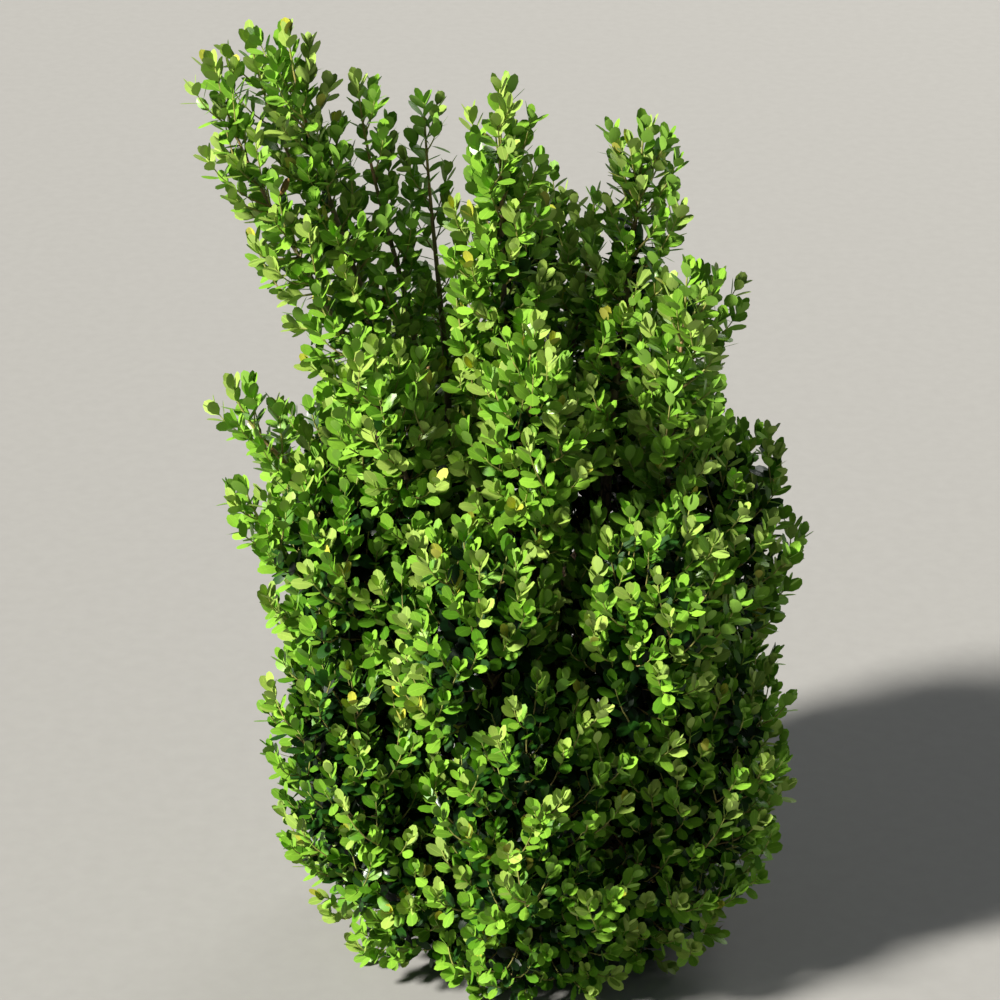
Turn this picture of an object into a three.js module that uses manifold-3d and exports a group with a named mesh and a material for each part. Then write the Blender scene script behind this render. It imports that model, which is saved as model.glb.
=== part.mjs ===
// Upright boxwood shrub: a short main stem, rising boughs and masses of small paired leaves
import * as THREE from 'three';
import { mergeVertices } from 'three/addons/utils/BufferGeometryUtils.js';
import Module from 'manifold-3d';

const wasm = await Module();
wasm.setup();

// Lengths are millimetres, heights are above the ground, shares run from 0 to 1.
// +X is the shrub's right, +Y its back and +Z up.
const CLEAR = 0.3; // between a limb and what it grows from
const WELD = 1e-4; // corners no further apart than this are one corner
const TINY = 1e-3;

// The main stem, from its cut at the ground to where it forks
const TRUNK_TOP = [-5, 3, 150];
const TRUNK_RADIUS = 15;
const TRUNK_TOP_RADIUS = 10;
const FLARE = 13; // how far the root flare adds to the radius at the ground
const FLARE_HEIGHT = 14;
const FLARE_LOBES = 5;
const LOBE_DEPTH = 0.16; // of the radius, at the ground
const TRUNK_SIDES = 15;
const TRUNK_STEPS = 7;
const TRUNK_LEAN = 1.4; // how far its top turns over, for each unit that the whole stem leans

// The rounded body: two rings of masses round the main stem
const BODY_CENTRE_X = -15;
const BODY_CENTRE_HEIGHT = 420; // where the middle of the body has moved out to that
const BODY_DEPTH = 0.92; // front to back, for each unit of width
const LOW_RING = {
  count: 6, turn: 1 / 12, leaves_at: 20, climb: 10, radius: 4.2, slope: 0.02,
  reach: 167, height: 294, waves: 3, spread: 108, heading: 0.1,
};
const MIDDLE_RING = {
  count: 7, turn: 0, leaves_at: 66, climb: 26, radius: 6.2, foot_reach: 84, foot_height: 205,
  reach: 170, height: 424, waves: 2, spread: 95, heading: 0.2,
};
const RING_WAVE = 14; // how much the tops of a ring rise and fall round it

// The crown: each leader's parent, how far up that it starts, where its bough enters the leaves,
// where the growing tip is, and the widest the leaves stand round it
const CROWN = {
  centre: { from: 'trunk', at: 0.97, foot: [-26, 6, 430], tip: [-32, 0, 782], spread: 53 },
  left: { from: 'trunk', at: 0.84, foot: [-112, 14, 450], tip: [-200, 22, 820], spread: 50 },
  right: { from: 'trunk', at: 0.9, foot: [58, 14, 430], tip: [84, 36, 737], spread: 54 },
  back: { from: 'trunk', at: 0.78, foot: [0, 100, 410], tip: [4, 140, 640], spread: 66 },
  left_outer: { from: 'left', at: 0.66, foot: [-132, -8, 480], tip: [-258, 16, 795], spread: 42 },
  left_inner: { from: 'left', at: 0.8, foot: [-98, 48, 500], tip: [-146, 34, 774], spread: 28 },
  left_front: { from: 'left', at: 0.5, foot: [-98, -62, 410], tip: [-132, -80, 590], spread: 56 },
  left_sprig: { from: 'left', at: 0.56, foot: [-184, -22, 415], tip: [-252, -12, 528], spread: 32 },
  centre_left: { from: 'centre', at: 0.78, foot: [-76, 62, 470], tip: [-94, 62, 750], spread: 31 },
  centre_front: { from: 'centre', at: 0.6, foot: [-12, -78, 400], tip: [-8, -96, 600], spread: 62 },
  right_outer: { from: 'right', at: 0.62, foot: [104, -44, 405], tip: [118, -34, 640], spread: 44 },
  right_far: { from: 'right', at: 0.5, foot: [92, 46, 415], tip: [148, 44, 602], spread: 36 },
  back_left: { from: 'back', at: 0.55, foot: [-84, 108, 390], tip: [-100, 136, 545], spread: 62 },
  back_right: { from: 'back', at: 0.5, foot: [60, 84, 400], tip: [92, 132, 575], spread: 60 },
  left_low: { from: 'left', at: 0.4, foot: [-182, -44, 335], tip: [-243, -34, 446], spread: 34 },
  centre_right: { from: 'centre', at: 0.62, foot: [18, 56, 440], tip: [46, 62, 666], spread: 46 },
  left_high: { from: 'left', at: 0.9, foot: [-136, 58, 510], tip: [-232, 52, 806], spread: 32 },
};
const UPTURN = 0.6; // how far both ends of a leader turn from its lean to upright
const LEADER_RADIUS = 8;
const SIDE_LIMB_RADIUS = 5.4;
const LIMB_TAPER = 0.58; // a limb's tip radius for each unit at its base
const LIMB_SIDES = 5;
const LIMB_STEPS = 5;
const LIMB_CLEAR = 1.2; // between a limb and the leaves of other masses
const LEAVING_RISE = 0.55; // how much of its rise a bough has where it leaves its parent
const LEAVING_TURN = { trunk: 0.85, limb: 0.6 }; // how far it has turned there from its parent's way

// How wide the leaves stand along a stem: a half wave that starts and ends part of the way through
const WAVE_PART = { low: [0.34, 0.74], middle: [0.2, 0.74], crown: [0.3, 0.86] };
const SHARE_STEPS = 12; // straight pieces that a stem is measured in
const NEIGHBOUR_CLEAR = 0.035; // between two masses, in shares of their widths
const GROUND_CLEAR = 2;

// Twigs
const STEM_SIDES = 3;
const STEM_STEPS = 5;
const STEM_TIP_RADIUS = 1.4;
const TWIG_SIDES = 3;
const TWIG_STEPS = 2;
const TWIG_RADIUS = 1.9;
const TWIG_TIP_RADIUS = 1.3;
const TWIG_TRIES = 26;
const TWIG_LIMIT = { low: 8, middle: 6, crown: 4 };
const SLENDER = 45; // a crown mass that spreads no wider than this has half as many twigs
const TWIG_LOWEST = { low: 0.2, middle: 0.34, crown: 0.06 }; // of the stem
const TWIG_FACING = { low: 0.66, middle: 0.66, crown: 1 }; // of a turn round the stem
const OUTWARD = -0.25; // of a turn, the side of a stem that faces away from the main stem
const TWIG_RISE = 0.75; // how much lower than its tip a twig starts, for each unit it runs out
const TWIG_STARTS = 0.03; // of the stem, the lowest
const TWIG_LEAST_RUN = 16;
const TWIG_LEAVING = { along: 0.6, out: 0.8 };
const TWIG_ARRIVING = { up: 0.7, out: 0.7 };
const TWIG_MARKS = 8; // places along a twig that are looked at
const TWIG_NEAR_MARKS = 3; // of these, the ones so near its start that they needn't be clear
const ROOM_STEP = 4;
const FAN_START = 0.5; // how far up its stem a mass's twigs begin to tilt towards its top
const FAN = 2.4; // radians of tilt for each share further up

// Leaves. Each stands for a small spray, and is larger than one boxwood leaf.
const LEAF_LIMIT = { low: 15, middle: 15, crown: 15 };
const LEAF_REACH = 18; // from a growing tip to the tip of its last leaf
const LEAF_LENGTH = { low: 74, middle: 74, crown: 56 };
const LEAF_VARIES = 0.1; // of the length, longer or shorter
const SHORT_LEAF = 0.7; // of the length, tried where a whole leaf doesn't fit
const LEAF_WIDTH = 0.58; // of the length
const LEAF_THICKNESS = 0.05; // of the length
const LEAF_WIDEST = 0.6; // of the way from root to tip
const LEAF_SINK = 3; // how far a twig runs on into its last leaf
const LAST_LEAF_LOWEST = 0.3; // of the twig
const LEAF_ANGLE = 0.14; // of a turn, between a leaf and its twig
const LEAF_SPACING = 0.33; // between the middles of leaves, of their length
const LEAF_MARKS = 5; // places along a leaf that are looked at
const LEAF_TURNS = [0, 0.125, -0.125, 0.25]; // of a turn, tried in this order
const LEAF_OUT = 0.52; // of the mass's width, where leaf middles begin to stand in a dense mass
const PAIR_SPACING = 0.45; // between pairs along a twig, of the leaf's length
const FIRST_PAIR = 0.35; // of that spacing, from the root of the last leaf
const PAIR_STAGGER = 0.06; // of that spacing, between the two leaves of a pair
const TWIG_PAIRS = { lowest: 0.12, most: 3 };
const STEM_PAIRS = { lowest: 0.04, most: 6 };
const NO_PAIRS = { lowest: 0, most: 0 };
const LEAF_SEED = 1000; // set apart from the twigs' seeds

// The core of a dense mass
const CORE_SHARE = 0.46; // of the width that the leaves stand to
const CORE_PART = [0.26, 0.9]; // of the stem
const CORE_WAVE_PART = [0.2, 0.8];
const CORE_CLEAR = 3;
const CORE_LEAST = 5;
const CORE_SIDES = 6;
const CORE_STEPS = 3;

// Two fractions whose multiples spread evenly over a square
const EVEN_A = 0.7548776662;
const EVEN_B = 0.569840291;

const UP = new THREE.Vector3(0, 0, 1);

const fraction = (x) => x - Math.floor(x);
const mix = (a, b, share) => a + (b - a) * share;
const point = (xyz) => new THREE.Vector3(...xyz);

// The same row of numbers from 0 to 1 for the same seed
function dice(seed) {
  let state = seed >>> 0;
  return () => {
    state = (state + 0x6d2b79f5) >>> 0;
    let mixed = Math.imul(state ^ (state >>> 15), state | 1);
    mixed ^= mixed + Math.imul(mixed ^ (mixed >>> 7), mixed | 61);
    return ((mixed ^ (mixed >>> 14)) >>> 0) / 4294967296;
  };
}

// A smooth way from one place to another, with its direction at both ends
function sweep(from, leaving, to, arriving) {
  const pull = from.distanceTo(to) / 3;
  const first = from.clone().addScaledVector(leaving, pull);
  const second = to.clone().addScaledVector(arriving, -pull);
  return new THREE.CubicBezierCurve3(from, first, second, to);
}

// Two directions across a way: one level, one square to it and to the way
function across(way, share) {
  const along = way.getTangent(share);
  const chord = way.getPoint(1).sub(way.getPoint(0));
  const level = new THREE.Vector3(chord.y, -chord.x, 0);
  if (level.length() < TINY) level.set(1, 0, 0);
  const side = level.addScaledVector(along, -level.dot(along)).normalize();
  return { along, side, other: side.clone().cross(along) };
}

// A closed rod along a way. Its radius is read along it and round it, and `grown` makes it
// thicker all over.
function rod(way, radius, sides, steps, grown = 0) {
  const geometry = new THREE.CylinderGeometry(1, 1, 1, sides, steps);
  const places = geometry.attributes.position;
  for (let i = 0; i < places.count; i += 1) {
    const share = places.getY(i) + 0.5;
    const { along, side, other } = across(way, share);
    const turn = Math.atan2(places.getZ(i), places.getX(i));
    const size = Math.hypot(places.getX(i), places.getZ(i)) * (radius(share, turn) + grown);
    const place = way.getPoint(share);
    place.addScaledVector(side, Math.cos(turn) * size).addScaledVector(other, Math.sin(turn) * size);
    if (share < TINY) place.addScaledVector(along, -grown);
    if (share > 1 - TINY) place.addScaledVector(along, grown);
    places.setXYZ(i, place.x, place.y, place.z);
  }
  return geometry;
}

// A leaf of eight faces, from its root, widest past its middle
function leafShape(leaf) {
  const { root, along, face, length } = leaf;
  const geometry = new THREE.OctahedronGeometry(1);
  const wide = face.clone().cross(along);
  const places = geometry.attributes.position;
  for (let i = 0; i < places.count; i += 1) {
    const [x, y, z] = [places.getX(i), places.getY(i), places.getZ(i)];
    const far = Math.abs(x) > 0.5 ? (x + 1) / 2 : LEAF_WIDEST;
    const place = root.clone().addScaledVector(along, far * length);
    place.addScaledVector(wide, (y * LEAF_WIDTH * length) / 2);
    place.addScaledVector(face, (z * LEAF_THICKNESS * length) / 2);
    places.setXYZ(i, place.x, place.y, place.z);
  }
  return geometry;
}

function solid(geometry) {
  geometry.deleteAttribute('normal');
  geometry.deleteAttribute('uv');
  const merged = mergeVertices(geometry, WELD);
  const vertProperties = new Float32Array(merged.attributes.position.array);
  const triVerts = new Uint32Array(merged.index.array);
  return new wasm.Manifold(new wasm.Mesh({ numProp: 3, vertProperties, triVerts }));
}

// The largest body of a solid, with any sealed hollow filled
function whole(shape) {
  const bodies = shape.decompose();
  return bodies.reduce((most, body) => (body.volume() > most.volume() ? body : most));
}

// Limbs: the main stem and the boughs

const limbs = {};

function trunkRadius(share, turn) {
  const height = share * TRUNK_TOP[2];
  const flare = Math.exp(-height / FLARE_HEIGHT);
  const lobes = 1 + LOBE_DEPTH * flare * Math.cos(FLARE_LOBES * turn);
  return (mix(TRUNK_RADIUS, TRUNK_TOP_RADIUS, share) + FLARE * flare) * lobes;
}

function addTrunk() {
  const lean = UP.clone().lerp(point(TRUNK_TOP).normalize(), TRUNK_LEAN).normalize();
  const way = sweep(new THREE.Vector3(), UP, point(TRUNK_TOP), lean);
  limbs.trunk = { way, radius: trunkRadius, sides: TRUNK_SIDES, steps: TRUNK_STEPS };
}

function addBough(name, parent, at, foot, heading, radius) {
  const from = limbs[parent].way.getPoint(at);
  const chord = foot.clone().sub(from).normalize();
  const away = chord.clone().setZ(chord.z * LEAVING_RISE).normalize();
  const turned = parent === 'trunk' ? LEAVING_TURN.trunk : LEAVING_TURN.limb;
  const leaving = limbs[parent].way.getTangent(at).lerp(away, turned);
  const way = sweep(from, leaving.normalize(), foot, heading);
  const taper = (share) => radius * mix(1, LIMB_TAPER, share);
  limbs[name] = { way, radius: taper, sides: LIMB_SIDES, steps: LIMB_STEPS };
}

function limbRod(limb, grown = 0) {
  return solid(rod(limb.way, limb.radius, limb.sides, limb.steps, grown));
}

// Masses of foliage: the way of each one's own stem and how wide its leaves stand round it

const masses = [];

function addMass(name, kind, from, leaving, tip, heading, spread, radius, core) {
  const way = sweep(from, leaving, tip, heading);
  const [start, end] = WAVE_PART[kind];
  const width = (share) => spread * Math.sin(Math.PI * mix(start, end, share));
  masses.push({ name, kind, way, width, spread, radius, core, seed: masses.length + 1 });
}

function ringPlace(turn, reach, height) {
  const angle = 2 * Math.PI * turn;
  const centre = BODY_CENTRE_X * Math.min(1, height / BODY_CENTRE_HEIGHT);
  const x = centre + reach * Math.cos(angle);
  return new THREE.Vector3(x, BODY_DEPTH * reach * Math.sin(angle), height);
}

function ringHeading(turn, outward) {
  return ringPlace(turn, outward, 0).setZ(1).normalize();
}

function ringTip(ring, turn) {
  const wave = Math.cos(2 * Math.PI * ring.waves * (turn - ring.turn));
  return ringPlace(turn, ring.reach, ring.height + RING_WAVE * wave);
}

function addLowRing() {
  const ring = LOW_RING;
  for (let i = 0; i < ring.count; i += 1) {
    const turn = ring.turn + i / ring.count;
    const start = (ring.leaves_at + ring.climb * (i % 2)) / TRUNK_TOP[2];
    const from = limbs.trunk.way.getPoint(start);
    const leaving = ringPlace(turn, 1, 0).setZ(ring.slope).normalize();
    addMass(`foliage_low_${i + 1}`, 'low', from, leaving, ringTip(ring, turn),
      ringHeading(turn, ring.heading), ring.spread, ring.radius, true);
  }
}

function addMiddleRing() {
  const ring = MIDDLE_RING;
  for (let i = 0; i < ring.count; i += 1) {
    const turn = ring.turn + i / ring.count;
    const at = (ring.leaves_at + ring.climb * (i % 2)) / TRUNK_TOP[2];
    const foot = ringPlace(turn, ring.foot_reach, ring.foot_height);
    const heading = ringHeading(turn, ring.heading);
    const name = `middle_${i + 1}`;
    addBough(name, 'trunk', at, foot, heading, ring.radius);
    addMass(`foliage_${name}`, 'middle', foot, heading, ringTip(ring, turn), heading, ring.spread,
      ring.radius * LIMB_TAPER, true);
  }
}

function addCrown() {
  for (const [name, leader] of Object.entries(CROWN)) {
    const foot = point(leader.foot);
    const tip = point(leader.tip);
    const chord = tip.clone().sub(foot).normalize();
    const heading = chord.clone().lerp(UP, UPTURN).normalize();
    const radius = leader.from === 'trunk' ? LEADER_RADIUS : SIDE_LIMB_RADIUS;
    addBough(name, leader.from, leader.at, foot, heading, radius);
    addMass(`foliage_${name}`, 'crown', foot, heading, tip, heading, leader.spread,
      radius * LIMB_TAPER, false);
  }
}

// A way as a row of places with its width at each
function measure(way, width) {
  const marks = [];
  for (let i = 0; i <= SHARE_STEPS; i += 1) {
    marks.push({ place: way.getPoint(i / SHARE_STEPS), width: width(i / SHARE_STEPS) });
  }
  return marks;
}

// How far out a place lies from a measured way: as a share, 0 on it and 1 at its width, and in
// millimetres beyond its width
function nearest(marks, place) {
  let least = { share: Infinity, beyond: Infinity };
  for (let i = 1; i < marks.length; i += 1) {
    const [a, b] = [marks[i - 1], marks[i]];
    const line = new THREE.Line3(a.place, b.place);
    const along = line.closestPointToPointParameter(place, true);
    const distance = line.at(along, new THREE.Vector3()).distanceTo(place);
    const width = mix(a.width, b.width, along);
    const share = distance / width;
    if (share < least.share) least = { share, beyond: distance - width };
  }
  return least;
}

// Whether a place is in a mass's own space, or no more than `most` beyond its width, and clear of
// its neighbours, the limbs and the ground
function inSpace(mass, place, most) {
  if (place.z < GROUND_CLEAR) return false;
  const { share: own, beyond } = nearest(mass.marks, place);
  if (beyond > most) return false;
  for (const other of masses) {
    if (other !== mass && nearest(other.marks, place).share < own + NEIGHBOUR_CLEAR) return false;
  }
  for (const limb of Object.values(limbs)) {
    if (nearest(limb.marks, place).share < 1) return false;
  }
  return true;
}

// How far a place can move out from a mass's stem before it leaves the mass's space
function roomFor(mass, from, out, most) {
  let run = 0;
  while (run < most) {
    if (!inSpace(mass, from.clone().addScaledVector(out, run + ROOM_STEP), 0)) return run;
    run += ROOM_STEP;
  }
  return most;
}

// Twig n of a mass. Its place up the stem and round it come from two even rows of shares, it fans
// out towards the top, and it runs on until it nears the edge of the space. A twig that droops
// rises less as it goes.
function twigAt(mass, phase, n) {
  const share = mix(TWIG_LOWEST[mass.kind], 1, fraction(phase + n * EVEN_A));
  const turn = TWIG_FACING[mass.kind] * (fraction(phase + n * EVEN_B) - 0.5) + OUTWARD;
  const angle = 2 * Math.PI * turn;
  const tilt = FAN * Math.max(0, share - FAN_START);
  const { along, side, other } = across(mass.way, share);
  const out = side.multiplyScalar(Math.cos(angle)).addScaledVector(other, Math.sin(angle));
  out.multiplyScalar(Math.cos(tilt)).addScaledVector(along, Math.sin(tilt));
  const run = roomFor(mass, mass.way.getPoint(share), out, mass.width(share) - LEAF_REACH);
  if (run < TWIG_LEAST_RUN) return null;
  const tip = mass.way.getPoint(share).addScaledVector(out, run);
  const level = Math.max(0, Math.min(1, 1 + out.z));
  const start = Math.max(TWIG_STARTS, share - (TWIG_RISE * level * run) / mass.way.getLength());
  const leaving = mass.way.getTangent(start).multiplyScalar(TWIG_LEAVING.along * level);
  leaving.addScaledVector(out, TWIG_LEAVING.out).normalize();
  const arriving = UP.clone().multiplyScalar(TWIG_ARRIVING.up * level);
  arriving.addScaledVector(out, TWIG_ARRIVING.out).normalize();
  const way = sweep(mass.way.getPoint(start), leaving, tip, arriving);
  const marks = way.getPoints(TWIG_MARKS).slice(TWIG_NEAR_MARKS);
  return marks.every((place) => inSpace(mass, place, 0)) ? way : null;
}

function twigsOf(mass) {
  const phase = dice(mass.seed)();
  const limit = TWIG_LIMIT[mass.kind] * (mass.spread <= SLENDER ? 0.5 : 1);
  const twigs = [];
  for (let n = 0; n < TWIG_TRIES && twigs.length < limit; n += 1) {
    const way = twigAt(mass, phase, n);
    if (way) twigs.push(way);
  }
  return twigs;
}

function leafAt(way, share, angle, length) {
  const { along, side, other } = across(way, share);
  const out = side.multiplyScalar(Math.cos(angle)).addScaledVector(other, Math.sin(angle));
  const lean = 2 * Math.PI * LEAF_ANGLE;
  const ahead = along.clone().multiplyScalar(Math.cos(lean)).addScaledVector(out, Math.sin(lean));
  const face = along.clone().multiplyScalar(Math.sin(lean)).addScaledVector(out, -Math.cos(lean));
  return { root: way.getPoint(share), along: ahead, face, length };
}

// The last leaf goes straight on, and its tip ends just past the growing tip
function lastLeaf(way, share, angle, length) {
  const { side, other } = across(way, share);
  const face = side.multiplyScalar(Math.cos(angle)).addScaledVector(other, Math.sin(angle));
  const end = way.getPoint(share).addScaledVector(way.getTangent(share), LEAF_REACH);
  const root = way.getPoint(lastShare(way, length));
  return { root, along: end.clone().sub(root).normalize(), face, length: end.distanceTo(root) };
}

// Where along a twig its last leaf is rooted
function lastShare(way, length) {
  return Math.max(LAST_LEAF_LOWEST, 1 - (length - LEAF_REACH) / way.getLength());
}

// Places on a leaf that have to stay in its space: down the middle and along both edges
function leafPlaces(leaf) {
  const wide = leaf.face.clone().cross(leaf.along);
  const places = [];
  for (let i = 1; i <= LEAF_MARKS; i += 1) {
    const share = i / LEAF_MARKS;
    const middle = leaf.root.clone().addScaledVector(leaf.along, share * leaf.length);
    const edge = share < LEAF_WIDEST ? share / LEAF_WIDEST : (1 - share) / (1 - LEAF_WIDEST);
    const half = (edge * LEAF_WIDTH * leaf.length) / 2;
    places.push(middle);
    places.push(middle.clone().addScaledVector(wide, half));
    places.push(middle.clone().addScaledVector(wide, -half));
  }
  return places;
}

// Where the leaves of a twig may grow: the last one, then crossed pairs from there down
function leafSpots(mass, way, pairs, roll) {
  const length = LEAF_LENGTH[mass.kind];
  const turn = roll();
  const spots = [{ way, share: 1, angle: 2 * Math.PI * turn, length }];
  const top = lastShare(way, length);
  const closest = (PAIR_SPACING * length) / way.getLength();
  const step = Math.max(closest, (top - pairs.lowest) / pairs.most);
  for (let pair = 0; pair < pairs.most; pair += 1) {
    for (const second of [0, 1]) {
      const share = top - (pair + FIRST_PAIR + PAIR_STAGGER * second) * step;
      if (share < pairs.lowest) break;
      const angle = 2 * Math.PI * (turn + second / 2 + (pair + 1) / 4);
      spots.push({ way, share, angle, length: length * (1 + LEAF_VARIES * (2 * roll() - 1)) });
    }
  }
  return spots;
}

// The first leaf that fits its spot: whole or short, as it is or turned round the twig
function fitted(mass, spot, kept) {
  const spacing = LEAF_SPACING * LEAF_LENGTH[mass.kind];
  const make = spot.share === 1 ? lastLeaf : leafAt;
  for (const cut of [1, SHORT_LEAF]) {
    for (const turned of LEAF_TURNS) {
      const leaf = make(spot.way, spot.share, spot.angle + 2 * Math.PI * turned, spot.length);
      leaf.length *= cut;
      const middle = leaf.root.clone().addScaledVector(leaf.along, leaf.length * LEAF_WIDEST);
      if (kept.some((other) => other.middle.distanceTo(middle) < spacing)) continue;
      const inCore = mass.core && spot.way !== mass.way;
      if (inCore && nearest(mass.marks, middle).share < LEAF_OUT) continue;
      const fits = leafPlaces(leaf).every((place) => inSpace(mass, place, LEAF_REACH));
      if (fits) return { ...leaf, middle };
    }
  }
  return null;
}

function leavesOf(mass, twigs) {
  const roll = dice(mass.seed + LEAF_SEED);
  const kept = [];
  const spots = twigs.map((twig) => leafSpots(mass, twig, TWIG_PAIRS, roll));
  spots.push(leafSpots(mass, mass.way, mass.core ? NO_PAIRS : STEM_PAIRS, roll));
  for (const spot of spots.flat()) {
    const leaf = kept.length < LEAF_LIMIT[mass.kind] && fitted(mass, spot, kept);
    if (leaf) kept.push(leaf);
  }
  return kept;
}

// The core of a dense mass: a closed body round its stem that keeps inside the mass's space
function coreOf(mass) {
  const [low, high] = CORE_PART;
  const part = {
    getPoint: (share) => mass.way.getPoint(mix(low, high, share)),
    getTangent: (share) => mass.way.getTangent(mix(low, high, share)),
  };
  const thick = (share, turn) => {
    const { side, other } = across(part, share);
    const out = side.multiplyScalar(Math.cos(turn)).addScaledVector(other, Math.sin(turn));
    const swell = Math.sin(Math.PI * mix(...CORE_WAVE_PART, share));
    const most = CORE_SHARE * mass.width(mix(low, high, share)) * swell + CORE_CLEAR;
    return Math.max(CORE_LEAST, roomFor(mass, part.getPoint(share), out, most) - CORE_CLEAR);
  };
  return solid(rod(part, thick, CORE_SIDES, CORE_STEPS));
}

// A stem or twig as far as its last leaf, which is rooted round its end
function twigSolid(mass, way, radius, tipRadius, sides, steps) {
  const end = lastShare(way, LEAF_LENGTH[mass.kind]) + LEAF_SINK / way.getLength();
  const part = {
    getPoint: (share) => way.getPoint(share * end),
    getTangent: (share) => way.getTangent(share * end),
  };
  return solid(rod(part, (share) => mix(radius, tipRadius, share), sides, steps));
}

function massSolid(mass, grownLimbs) {
  const twigs = twigsOf(mass);
  const leaves = leavesOf(mass, twigs);
  let shape = twigSolid(mass, mass.way, mass.radius, STEM_TIP_RADIUS, STEM_SIDES, STEM_STEPS);
  if (mass.core) shape = shape.add(coreOf(mass));
  for (const twig of twigs) {
    shape = shape.add(twigSolid(mass, twig, TWIG_RADIUS, TWIG_TIP_RADIUS, TWIG_SIDES, TWIG_STEPS));
  }
  for (const leaf of leaves) shape = shape.add(solid(leafShape(leaf)));
  for (const limb of grownLimbs) shape = shape.subtract(limb);
  return whole(shape);
}

// Materials and the finished group

const BARK = { color: 0x6b5138, roughness: 0.85 };
const LEAF_COLOURS = [0x4c8c1e, 0x5b9a24, 0x3f7a1a];

function mesh(name, shape, finish) {
  const { vertProperties, triVerts } = shape.getMesh();
  const geometry = new THREE.BufferGeometry();
  geometry.setAttribute('position', new THREE.BufferAttribute(vertProperties, 3));
  geometry.setIndex(new THREE.BufferAttribute(triVerts, 1));
  const material = new THREE.MeshStandardMaterial({ ...finish, metalness: 0, flatShading: true });
  const made = new THREE.Mesh(geometry, material);
  made.name = name;
  return made;
}

addTrunk();
addLowRing();
addMiddleRing();
addCrown();
for (const mass of masses) mass.marks = measure(mass.way, mass.width);
for (const limb of Object.values(limbs)) {
  limb.marks = measure(limb.way, (share) => limb.radius(share, 0) + LIMB_CLEAR);
}

const shrub = new THREE.Group();
const grownLimbs = [];
for (const [name, limb] of Object.entries(limbs)) {
  let shape = limbRod(limb);
  for (const earlier of grownLimbs) shape = shape.subtract(earlier);
  shrub.add(mesh(name === 'trunk' ? name : `bough_${name}`, whole(shape), BARK));
  grownLimbs.push(limbRod(limb, CLEAR));
}
for (const mass of masses) {
  const color = LEAF_COLOURS[mass.seed % LEAF_COLOURS.length];
  shrub.add(mesh(mass.name, massSolid(mass, grownLimbs), { color, roughness: 0.6 }));
}

export default shrub;
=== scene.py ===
import math

import bmesh
import bpy
import numpy as np
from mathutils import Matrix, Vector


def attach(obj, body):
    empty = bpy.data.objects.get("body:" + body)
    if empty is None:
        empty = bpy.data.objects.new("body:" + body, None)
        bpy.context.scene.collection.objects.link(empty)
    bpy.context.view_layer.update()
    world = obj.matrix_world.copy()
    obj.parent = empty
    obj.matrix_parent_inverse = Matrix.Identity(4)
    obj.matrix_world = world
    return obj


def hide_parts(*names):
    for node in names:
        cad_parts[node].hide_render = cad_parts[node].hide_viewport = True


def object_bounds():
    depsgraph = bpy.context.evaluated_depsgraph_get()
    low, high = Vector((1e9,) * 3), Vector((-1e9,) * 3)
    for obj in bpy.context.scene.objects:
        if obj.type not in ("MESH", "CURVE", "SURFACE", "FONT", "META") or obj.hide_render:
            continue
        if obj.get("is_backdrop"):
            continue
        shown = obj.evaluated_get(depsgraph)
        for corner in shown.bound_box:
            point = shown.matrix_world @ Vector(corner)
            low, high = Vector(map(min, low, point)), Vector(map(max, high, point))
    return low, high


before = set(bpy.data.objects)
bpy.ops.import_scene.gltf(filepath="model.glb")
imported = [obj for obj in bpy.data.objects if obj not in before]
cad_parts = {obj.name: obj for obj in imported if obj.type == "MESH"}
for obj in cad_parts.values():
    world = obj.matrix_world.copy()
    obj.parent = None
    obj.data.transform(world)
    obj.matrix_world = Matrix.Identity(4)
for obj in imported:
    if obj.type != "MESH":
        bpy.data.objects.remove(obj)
cad_low, cad_high = (np.array(corner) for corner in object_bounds())

# The source's sizes. Lengths are millimetres and shares run from 0 to 1.
MM = 0.001
TRUNK_TOP = (-5, 3, 150)
TRUNK_RADIUS = 15
TRUNK_TOP_RADIUS = 10
FLARE = 13
FLARE_HEIGHT = 14
FLARE_LOBES = 5
LOBE_DEPTH = 0.16
TRUNK_LEAN = 1.4
BODY_CENTRE_X = -15
BODY_CENTRE_HEIGHT = 420
BODY_DEPTH = 0.92
LOW_RING = dict(
    count=6, turn=1 / 12, leaves_at=20, climb=10, radius=4.2, slope=0.02,
    reach=167, height=294, waves=3, spread=108, heading=0.1)
MIDDLE_RING = dict(
    count=7, turn=0, leaves_at=66, climb=26, radius=6.2, foot_reach=84, foot_height=205,
    reach=170, height=424, waves=2, spread=95, heading=0.2)
RING_WAVE = 14
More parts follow.
